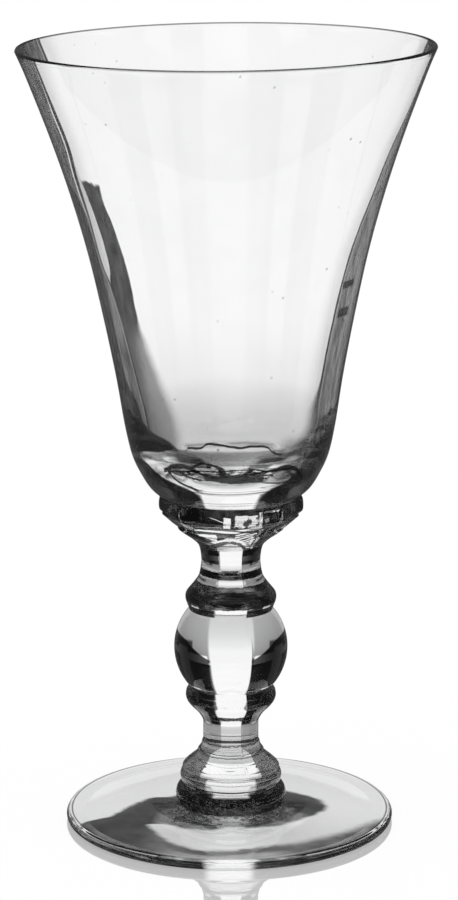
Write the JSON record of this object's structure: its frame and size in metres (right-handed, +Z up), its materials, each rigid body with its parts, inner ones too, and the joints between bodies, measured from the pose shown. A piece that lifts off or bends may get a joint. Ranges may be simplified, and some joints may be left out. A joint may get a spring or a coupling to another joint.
{
  "type": "water goblet",
  "caption": "Clear glass water goblet with a flared blown bowl, a tooled collar, a knopped stem and a round foot.",
  "frame": {"origin": "on the table, under the middle of the foot", "axes": "+Z up through the foot and stem, -Y towards the viewer of the picture, +X to the viewer's right"},
  "size_m": [0.099, 0.099, 0.1903],
  "materials": {
    "foot_glass": "clear, fire polished, with fine wear on the resting ring",
    "wafer_glass": "clear and thick, fire polished",
    "stem_glass": "clear and solid, pressed, with a faint mould seam",
    "collar_glass": "clear, tooled by hand in uneven facets",
    "bowl_glass": "clear, thin, blown in faint upright panels, with a few small seeds"
  },
  "bodies": {
    "root": {"foot": "foot_glass", "lower_wafer": "wafer_glass", "upper_wafer": "wafer_glass", "stem": "stem_glass", "lower_collar": "collar_glass", "upper_collar": "collar_glass", "bowl": "bowl_glass"}
  },
  "joints": []
}
